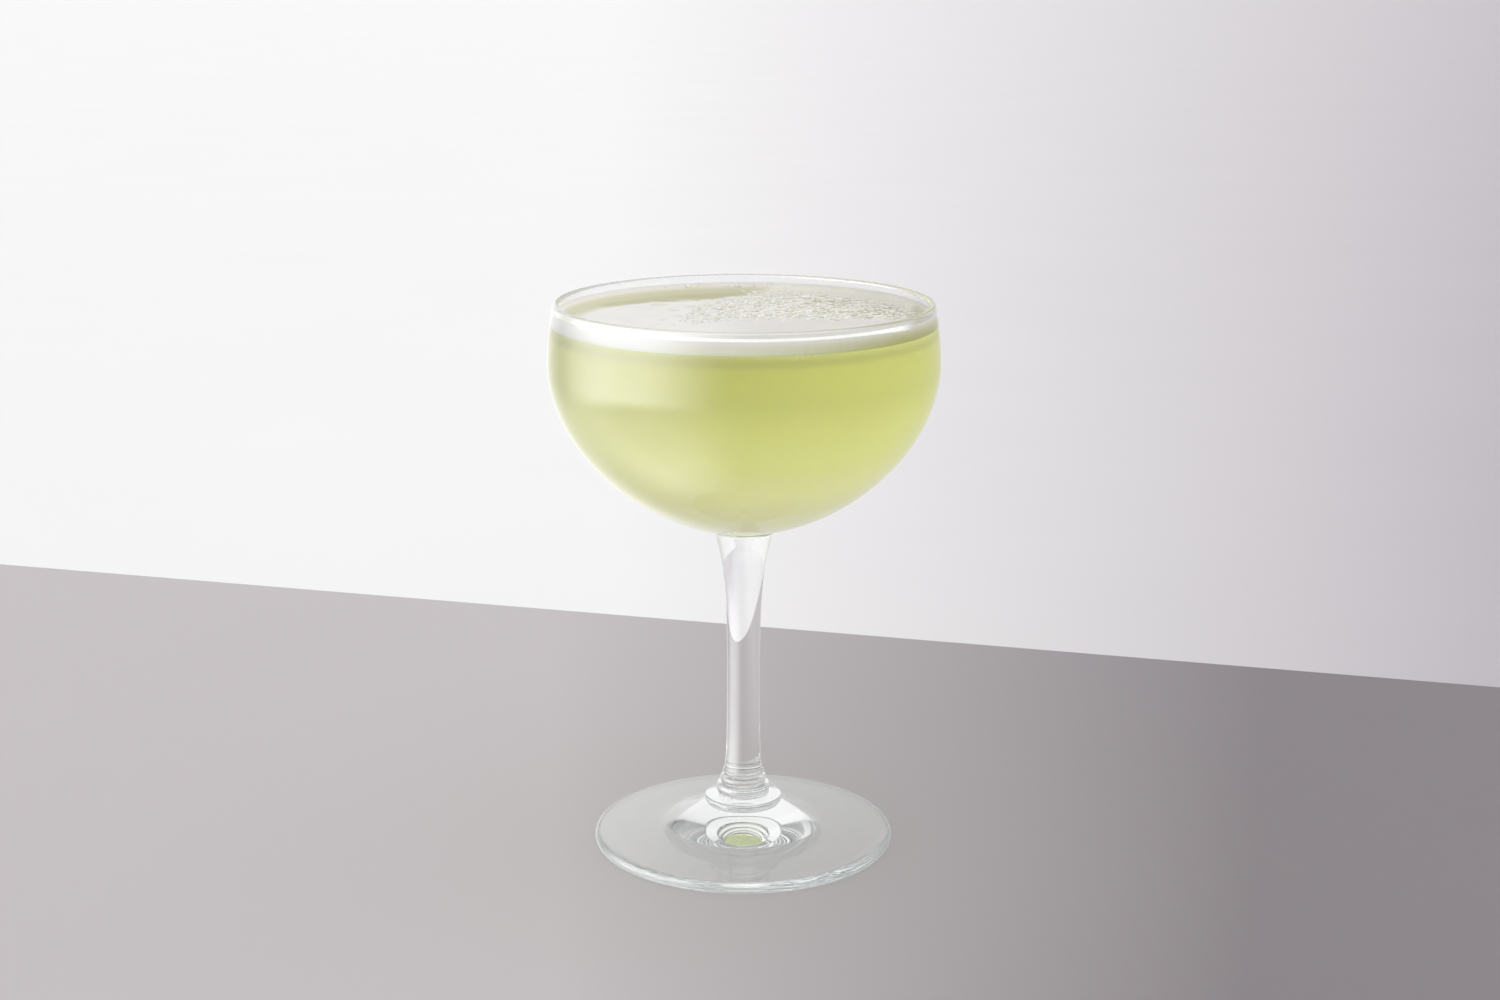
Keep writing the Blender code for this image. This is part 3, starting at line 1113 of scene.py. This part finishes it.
@dataclass
class Fill:
    """Levels that the drink and the froth share."""

    waterline: float = 126.25 * MM
    surface: float = 126.0 * MM
    froth: float = 0.9 * MM
    skirt: float = 5.5 * MM
    rise: float = 3.3 * MM
    rise_length: float = 1.5 * MM
    into_wall: float = 0.12 * MM

    def froth_top(self, glass: CoupeGlass, radius: float) -> float:
        """Height of the froth: level in the middle, drawn up the wall at its edge."""
        from_wall = max(glass.inside(self.surface) - radius, 0.0)
        return self.surface + self.rise * math.exp(-from_wall / self.rise_length)


@dataclass
class Drink(Turned):
    """The liquid, which reaches just into the wall so that no gap shows."""

    piece = "daiquiri"
    node = "drink"
    slot = Slot.DRINK
    glass: CoupeGlass
    fill: Fill
    corner_reach: float = 0.04 * MM
    behind_froth: float = 0.7 * MM
    segments: int = 160

    def section(self) -> Section:
        """Dished top, drawn up behind the froth's band, then down along the inside of the bowl."""
        glass = self.glass
        fill = self.fill
        radius = glass.bowl_radius - glass.wall + fill.into_wall
        top = fill.waterline + self.behind_froth
        edge = glass.shoulder(radius, top)
        middle = fill.surface - fill.froth
        points = [(0.0, middle), (0.5 * edge, middle), (edge - fill.skirt, middle)]
        points += glass.wall_above(radius, top, 14)[::-1]
        points += glass.bowl_below(radius, glass.inner_depth + fill.into_wall, 1.0, 48)
        points[-1] = (0.0, points[-1][1])
        section = Section()
        section.extend(softened(points, self.corner_reach))
        return section


@dataclass
class FrothLayer(Turned):
    """The thin froth: level top with a low relief, drawn up the wall, and its band at the side."""

    piece = "froth_layer"
    node = "froth"
    slot = Slot.FROTH
    glass: CoupeGlass
    fill: Fill
    into_wall: float = 0.15 * MM
    relief: float = 0.09 * MM
    relief_scale: float = 330.0
    segments: int = 320
    middle_steps: int = 34
    edge_width: float = 7.0 * MM
    edge_steps: int = 26
    low_edge: float = 126.18 * MM
    lap: float = 0.02 * MM
    lip: float = 0.05 * MM

    def section(self) -> Section:
        """Level top, meniscus, outer band and dished underside."""
        glass = self.glass
        fill = self.fill
        top = fill.surface + fill.rise
        wall = glass.inside(top) + self.into_wall
        shares = np.linspace(0, 1, self.middle_steps + 1)[:-1].tolist()
        radii = [(wall - self.edge_width) * share for share in shares]
        insets = (np.linspace(1, 0, self.edge_steps + 1) ** 2 * self.edge_width).tolist()
        section = Section()
        section.extend([(radius, fill.surface) for radius in radii], relief=self.relief)
        edge = [(wall - inset, fill.froth_top(glass, wall - inset)) for inset in insets[:-1]]
        section.extend(edge, relief=0.5 * self.relief)
        section.extend([(wall - self.lip, top + self.lap)])
        outer = glass.bowl_radius - glass.wall + self.into_wall
        heights = np.linspace(top, self.low_edge, 12).tolist()
        heights.insert(-1, self.low_edge + self.lap)
        section.extend([(glass.shoulder(outer, height), height) for height in heights], Zone.SIDE)
        bottom = fill.surface - fill.froth
        edge = glass.shoulder(outer, self.low_edge)
        low = edge - fill.skirt
        under = [(edge - 2 * self.lip, self.low_edge - self.lap)]
        under += [(radius, bottom) for radius in (low, 0.5 * low, 0.0)]
        section.extend(under, Zone.SIDE)
        return section


class Bubbles:
    """Bubbles of one kind, set as one mesh of flattened balls."""

    piece: ClassVar[str]
    flatness: float
    seed: int
    sides: int
    rows: int

    def cloud(self) -> bpy.types.Mesh:
        """Their places as points, each with its size and tone; each kind has its own."""
        raise NotImplementedError

    def build(self, setter: BubbleTree, finish: Finish) -> bpy.types.Object:
        """Set the bubbles.

        Args:
            setter: tree that sets a ball on each point.
            finish: their finish.

        Returns:
            The finished bubbles, one mesh.
        """
        values = {
            "Sides": self.sides,
            "Rows": self.rows,
            "Flatness": self.flatness,
            "Seed": self.seed,
            "Material": finish.material(),
        }
        return finished(setter.run(self.piece, self.cloud(), values), Slot.FROTH)


@dataclass(frozen=True)
class BubbleGrade:
    """One round of bubbles: how large, how many tries and how close they may lie."""

    smallest: float
    largest: float
    tries: int
    closeness: float


class Grade(Enum):
    """Rounds of bubbles, from the large ones to those that fill the gaps."""

    LARGE = BubbleGrade(1.20 * MM, 1.70 * MM, 8000, 0.72)
    MIDDLE = BubbleGrade(0.80 * MM, 1.20 * MM, 8000, 0.72)
    SMALL = BubbleGrade(0.36 * MM, 0.80 * MM, 9000, 0.76)


@dataclass
class BubbleRaft(Bubbles):
    """The raft of bubbles on the froth at the back and to the right; its outline in millimetres."""

    piece = "bubble_raft"
    glass: CoupeGlass
    fill: Fill
    near_x: tuple[float, ...] = (-15.0, -10.6, -5.6, 4.0, 13.0, 22.0, 33.0, 37.0, 40.0, 42.0)
    near_y: tuple[float, ...] = (1.0, -1.9, 2.4, 5.3, 5.5, 4.2, 6.0, 7.0, 8.5, 12.0)
    far_x: tuple[float, ...] = (-15.0, -13.0, -10.8, -6.0, -1.2, 1.0)
    far_y: tuple[float, ...] = (5.0, 19.0, 30.0, 35.2, 40.0, 46.0)
    field_x: Point = (-15.0 * MM, 43.0 * MM)
    field_y: Point = (-3.0 * MM, 43.0 * MM)
    widest: Point = (0.46 * MM, 1.25 * MM)
    tone: Point = (0.70, 0.25)
    ragged: float = 0.9 * MM
    ripples: Place = (900.0, 2100.0, 500.0)
    far_slope: float = 0.45
    full_depth: float = 4.5 * MM
    growth_from: float = -14.0 * MM
    growth_width: float = 24.0 * MM
    least_growth: float = 0.22
    fade_from: float = 5.0 * MM
    fade_width: float = 30.0 * MM
    fade: float = 0.5
    wall_gap: float = 0.05 * MM
    flatness: float = 0.44
    sink: float = 0.12
    seed: int = 7
    sides: int = 12
    rows: int = 7

    def from_edge(self, x: np.ndarray, y: np.ndarray) -> np.ndarray:
        """How far a place lies inside the raft's ragged outline; less than 0 is outside."""
        near = np.interp(x / MM, self.near_x, self.near_y) * MM
        far = np.interp(x / MM, self.far_x, self.far_y) * MM
        long, short, slant = self.ripples
        ripple = self.ragged * (np.sin(x * long + 1.0) + 0.7 * np.sin(x * short + y * slant))
        inside_far = (far - y) * self.far_slope + 0.5 * ripple
        return np.minimum.reduce([y - near + ripple, inside_far, x - self.field_x[0]])

    def largest_at(self, x: float, y: float) -> float:
        """Largest bubble radius allowed at a place: small at the left tip and the near edge."""
        deep = float(self.from_edge(np.array(x), np.array(y))) / self.full_depth
        across = min(max((x - self.growth_from) / self.growth_width, 0.0), 1.0)
        growth = self.least_growth + (1 - self.least_growth) * across
        return self.widest[0] + self.widest[1] * growth * min(max(deep, 0.0), 1.0)

    def places(self) -> np.ndarray:
        """Places and sizes of the bubbles.

        Returns:
            One row of x, y and radius for each bubble.
        """
        rng = np.random.default_rng(self.seed)
        spots = np.zeros((0, 3))
        limit = self.glass.inside(self.fill.surface + self.fill.rise) - self.wall_gap
        for grade in Grade:
            rule = grade.value
            xs = rng.uniform(*self.field_x, rule.tries)
            ys = rng.uniform(*self.field_y, rule.tries)
            radii = rng.uniform(rule.smallest, rule.largest, rule.tries)
            keep = (self.from_edge(xs, ys) > 0) & (np.hypot(xs, ys) + radii < limit)
            for x, y, radius in np.column_stack([xs, ys, radii])[keep].tolist():
                if radius > self.largest_at(x, y):
                    continue
                gaps = np.hypot(spots[:, 0] - x, spots[:, 1] - y)
                if np.any(gaps < rule.closeness * (spots[:, 2] + radius)):
                    continue
                spots = np.vstack([spots, (x, y, radius)])
        return spots

    def cloud(self) -> bpy.types.Mesh:
        """The bubbles' places as points, each with its size and tone."""
        spots = self.places()
        rng = np.random.default_rng(self.seed + 1)
        inward = np.hypot(spots[:, 0], spots[:, 1]) - 0.3 * spots[:, 2]
        heights = [self.fill.froth_top(self.glass, radius) for radius in inward.tolist()]
        lifted = np.array(heights) - self.sink * spots[:, 2]
        across = np.clip((spots[:, 0] - self.fade_from) / self.fade_width, 0, 1)
        tones = np.clip(rng.normal(*self.tone, len(spots)) - self.fade * across, 0, 1)
        log.info("raft: %d bubbles", len(spots))
        places = np.column_stack([spots[:, :2], lifted])
        return bubble_points("raft_points", places, spots[:, 2], tones)


@dataclass
class WideBubbles(Bubbles):
    """A few wide, nearly flat bubbles in the fine froth beside the raft; sizes in millimetres."""

    piece = "wide_bubbles"
    glass: CoupeGlass
    fill: Fill
    spots: tuple[Place, ...] = (
        (-20.5, 27.0, 3.2),
        (-14.5, 32.5, 2.6),
        (-9.0, 34.6, 2.2),
        (-12.5, 24.5, 2.7),
        (-17.0, 19.0, 2.4),
        (-4.5, 36.4, 1.9),
        (-15.5, 10.5, 1.8),
        (-19.0, 5.0, 1.5),
        (-16.5, -1.5, 1.3),
    )
    flatness: float = 0.13
    seed: int = 3
    sides: int = 32
    rows: int = 16

    def cloud(self) -> bpy.types.Mesh:
        """The bubbles' places as points, half sunk in the froth."""
        spots = np.array(self.spots) * MM
        heights = [self.fill.froth_top(self.glass, math.hypot(x, y)) for x, y, _radius in spots]
        lifted = np.array(heights) - 0.5 * self.flatness * spots[:, 2]
        places = np.column_stack([spots[:, :2], lifted])
        return bubble_points("wide_points", places, spots[:, 2], np.ones(len(spots)))


@dataclass
class WallBeads(Bubbles):
    """Tiny beads of froth left along the line where it touches the wall."""

    piece = "wall_beads"
    glass: CoupeGlass
    fill: Fill
    count: int = 16
    smallest: float = 0.16 * MM
    largest: float = 0.46 * MM
    drop: float = 0.7 * MM
    scatter: float = 0.25 * MM
    from_angle: float = 70.0
    to_angle: float = 125.0
    flatness: float = 0.9
    seed: int = 23
    sides: int = 8
    rows: int = 5

    def cloud(self) -> bpy.types.Mesh:
        """The beads' places as points, each with its size and tone."""
        rng = np.random.default_rng(self.seed)
        angles = np.radians(rng.uniform(self.from_angle, self.to_angle, self.count))
        sizes = self.smallest + (self.largest - self.smallest) * rng.uniform(0, 1, self.count) ** 2.5
        heights = self.fill.surface + self.fill.rise + rng.normal(-self.drop, self.scatter, self.count)
        radii = np.array([self.glass.inside(height) for height in heights.tolist()]) - 0.9 * sizes
        points = np.column_stack([radii * np.cos(angles), radii * np.sin(angles), heights])
        return bubble_points("bead_points", points, sizes, np.ones(self.count))


# --- Stage, light and camera ---


@dataclass
class Stage:
    """Plain pale table, with a plain white floor beyond its slanting back edge; both carry painted
    light at the left and painted shade towards the right.
    """

    level: float = -0.04 * MM
    step: float = 0.5 * MM
    reach: float = 14.0
    table_reach: float = 3.0
    edge_left: Point = (-0.2560, 0.2442)
    edge_right: Point = (0.2178, 0.1158)
    # Both sheets: painted light at the left, fanning out to painted shade at the right.
    table: PlainSheet = PlainSheet(
        "table", (0.59, 0.555, 0.572), (0.262, 0.240, 0.255), (-0.09, 0.24)
    )
    floor: PlainSheet = PlainSheet(
        "floor", (0.955, 0.95, 0.952), (0.545, 0.512, 0.548), (-0.06, 0.34)
    )

    def sheet(self, name: str, corners: Sequence[Place], finish: Finish) -> None:
        """Lay one flat sheet that faces up."""
        mesh = bpy.data.meshes.new(name)
        mesh.from_pydata(list(corners), [], [tuple(range(len(corners)))])
        mesh.materials.append(finish.material())
        sheet = bpy.data.objects.new(name, mesh)
        sheet.visible_glossy = False
        sheet.visible_diffuse = False
        bpy.context.scene.collection.objects.link(sheet)

    def build(self) -> None:
        """Lay the table up to its back edge and the floor under and beyond it."""
        (start_x, start_y), (end_x, end_y) = self.edge_left, self.edge_right
        slope = (end_y - start_y) / (end_x - start_x)
        wide = self.table_reach
        left = start_y + slope * (-wide - start_x)
        right = start_y + slope * (wide - start_x)
        outline = ((-wide, -wide), (wide, -wide), (wide, right), (-wide, left))
        self.sheet("stage_table", [(x, y, self.level) for x, y in outline], self.table)
        low = self.level - self.step
        far = self.reach
        outline = ((-far, -far), (far, -far), (far, far), (-far, far))
        self.sheet("stage_floor", [(x, y, low) for x, y in outline], self.floor)


@dataclass(frozen=True)
class Softbox:
    """A soft light far away, or a dark flag, given by the bearings and heights that it fills.

    Bearings go from the viewer's side at 0 round by the left at 90 to the back at 180 degrees. A
    light on both sides fills the same bearings at the right, and one with a sag hangs lower there.
    """

    strength: float
    bearing_rise: Point
    bearing_fall: Point
    height_rise: Point
    height_fall: Point
    both_sides: bool = False
    sag: float = 0.0

    def share(self, bench: Bench, bearing: Value, height: Value) -> Any:
        """Share of its strength that shows in a direction."""
        if self.both_sides:
            bearing = bench.math("ABSOLUTE", bearing)
        if self.sag:
            height = bench.times_plus(bench.times(bearing, bearing), self.sag, height)
        first = bench.spread(bearing, *self.bearing_rise)
        last = bench.spread(bearing, *self.bearing_fall)
        low = bench.spread(height, *self.height_rise)
        high = bench.spread(height, *self.height_fall)
        inside = bench.times(bench.times(first, last), bench.times(low, high))
        return bench.times(inside, self.strength)


@dataclass(frozen=True)
class Dome:
    """A pale dome: its middle value, and how much it gains to the back, the left and the top."""

    middle: float
    back: float
    left: float
    top: float
    least: float

    def value(self, bench: Bench, way: tuple[Any, Any, Any]) -> Any:
        """Brightness in a direction."""
        value = bench.times_plus(way[1], self.back, self.middle)
        value = bench.times_plus(way[0], -self.left, value)
        value = bench.times_plus(way[2], self.top, value)
        return bench.math("MAXIMUM", value, self.least)


@dataclass
class StudioLight:
    """Soft studio: a pale dome lights the piece, and soft boxes show where the glass mirrors them.

    A dark flag holds the dome back at the left. The boxes that are seen are the wide key at the
    left, its glow from below, a thin strip in front that draws the lip's white line, the ceiling,
    and a faint one behind the left edge. Through the glass the dome shows alone.
    """

    lighting: Dome = Dome(1.1, 0.04, -0.17, 0.0, 0.3)
    mirrored: Dome = Dome(0.55, 0.30, 0.36, 0.10, 0.15)
    through: Dome = Dome(0.50, 0.45, 0.25, 0.10, 0.04)
    flag: Softbox = Softbox(-0.6, (10.0, 75.0), (165.0, 115.0), (-10.0, 10.0), (80.0, 60.0))
    key_seen: Softbox = Softbox(7.8, (5.0, 66.0), (138.0, 80.0), (-26.0, -14.0), (40.0, 22.0))
    glow_seen: Softbox = Softbox(2.7, (-5.0, 60.0), (150.0, 90.0), (-90.0, -60.0), (-14.0, -26.0))
    strip_seen: Softbox = Softbox(
        7.0, (-2.0, -1.0), (118.0, 98.0), (11.0, 11.5), (13.3, 12.7), both_sides=True, sag=0.00079
    )
    ceiling_seen: Softbox = Softbox(3.0, (-110.0, -60.0), (110.0, 60.0), (24.0, 36.0), (86.0, 70.0))
    edge_seen: Softbox = Softbox(0.45, (115.0, 145.0), (182.0, 165.0), (-50.0, -30.0), (60.0, 40.0))
    backdrop: float = 0.90
    bounces: int = 32
    clear_layers: int = 24
    colour: Colour = (1.0, 0.995, 1.0)

    def build(self) -> None:
        """Make the world and set how light is traced and shown."""
        world = bpy.data.worlds.new("studio")
        bpy.context.scene.world = world
        world.use_nodes = True
        tree = world.node_tree
        bench = Bench(tree)
        shader = tree.nodes["Background"]
        way = bench.parts(bench.add("ShaderNodeTexCoord").outputs["Generated"])
        bearing = bench.math("ARCTAN2", bench.times(way[0], -1.0), bench.times(way[1], -1.0))
        bearing = bench.math("DEGREES", bearing)
        height = bench.math("DEGREES", bench.math("ARCSINE", way[2]))
        flag = self.flag.share(bench, bearing, height)
        lighting = bench.plus(self.lighting.value(bench, way), flag)
        mirrored = self.mirrored.value(bench, way)
        boxes = (self.key_seen, self.glow_seen, self.strip_seen, self.ceiling_seen, self.edge_seen)
        for box in boxes:
            mirrored = bench.plus(mirrored, box.share(bench, bearing, height))
        light = bench.between(bench.ray(Ray.GLOSSY), lighting, mirrored)
        light = bench.between(bench.ray(Ray.THROUGH), light, self.through.value(bench, way))
        light = bench.between(bench.ray(Ray.CAMERA), light, self.backdrop)
        bench.fill(shader, {"Color": self.colour, "Strength": light})
        self.settings()

    def settings(self) -> None:
        """Set how light is traced and shown."""
        scene = bpy.context.scene
        scene.view_settings.view_transform = "Standard"
        scene.view_settings.look = "None"
        scene.cycles.max_bounces = self.bounces
        scene.cycles.glossy_bounces = self.bounces
        scene.cycles.transmission_bounces = self.bounces
        scene.cycles.transparent_max_bounces = self.clear_layers
        scene.cycles.caustics_reflective = False
        scene.cycles.caustics_refractive = False
        scene.cycles.use_denoising = True


@dataclass
class ViewCamera:
    """Camera at the usual view: a little above the rim, looking down at the foot."""

    place: Place = (0.00144, -0.5204, 0.2128)
    pitch: float = 76.12
    roll: float = 0.148
    lens: float = 54.84
    film_width: float = 36.0
    reach: Point = (0.01, 60.0)

    def build(self) -> None:
        """Make the camera and set it as the scene's."""
        data = bpy.data.cameras.new("view")
        data.lens = self.lens
        data.sensor_width = self.film_width
        data.clip_start, data.clip_end = self.reach
        camera = bpy.data.objects.new("view", data)
        bpy.context.scene.collection.objects.link(camera)
        turn = Euler((math.radians(self.pitch), 0.0, 0.0)).to_matrix()
        turn = turn @ Matrix.Rotation(math.radians(self.roll), 3, "Z")
        camera.matrix_world = Matrix.Translation(self.place) @ turn.to_4x4()
        bpy.context.scene.camera = camera


def main() -> None:
    """Build the glass, what it holds, and the studio round them."""
    logging.basicConfig(level=logging.INFO, format="%(message)s")
    turn = TurnTree()
    setter = BubbleTree()
    glass = CoupeGlass()
    fill = Fill()
    glass.build(turn, ClearGlass())
    Drink(glass, fill).build(turn, CloudyLime())
    FrothLayer(glass, fill).build(turn, FineFroth())
    BubbleRaft(glass, fill).build(setter, BubbleFilm())
    thin = BubbleFilm("wide_bubble_film", pale=(0.76, 0.745, 0.68), crown_highlight=(-0.3, -0.5), roughness=0.5)
    WideBubbles(glass, fill).build(setter, thin)
    white = BubbleFilm("bead_film", pale=(0.95, 0.945, 0.93), white=(0.97, 0.965, 0.95))
    WallBeads(glass, fill).build(setter, white)
    Stage().build()
    StudioLight().build()
    ViewCamera().build()


if __name__ == "__main__":
    main()
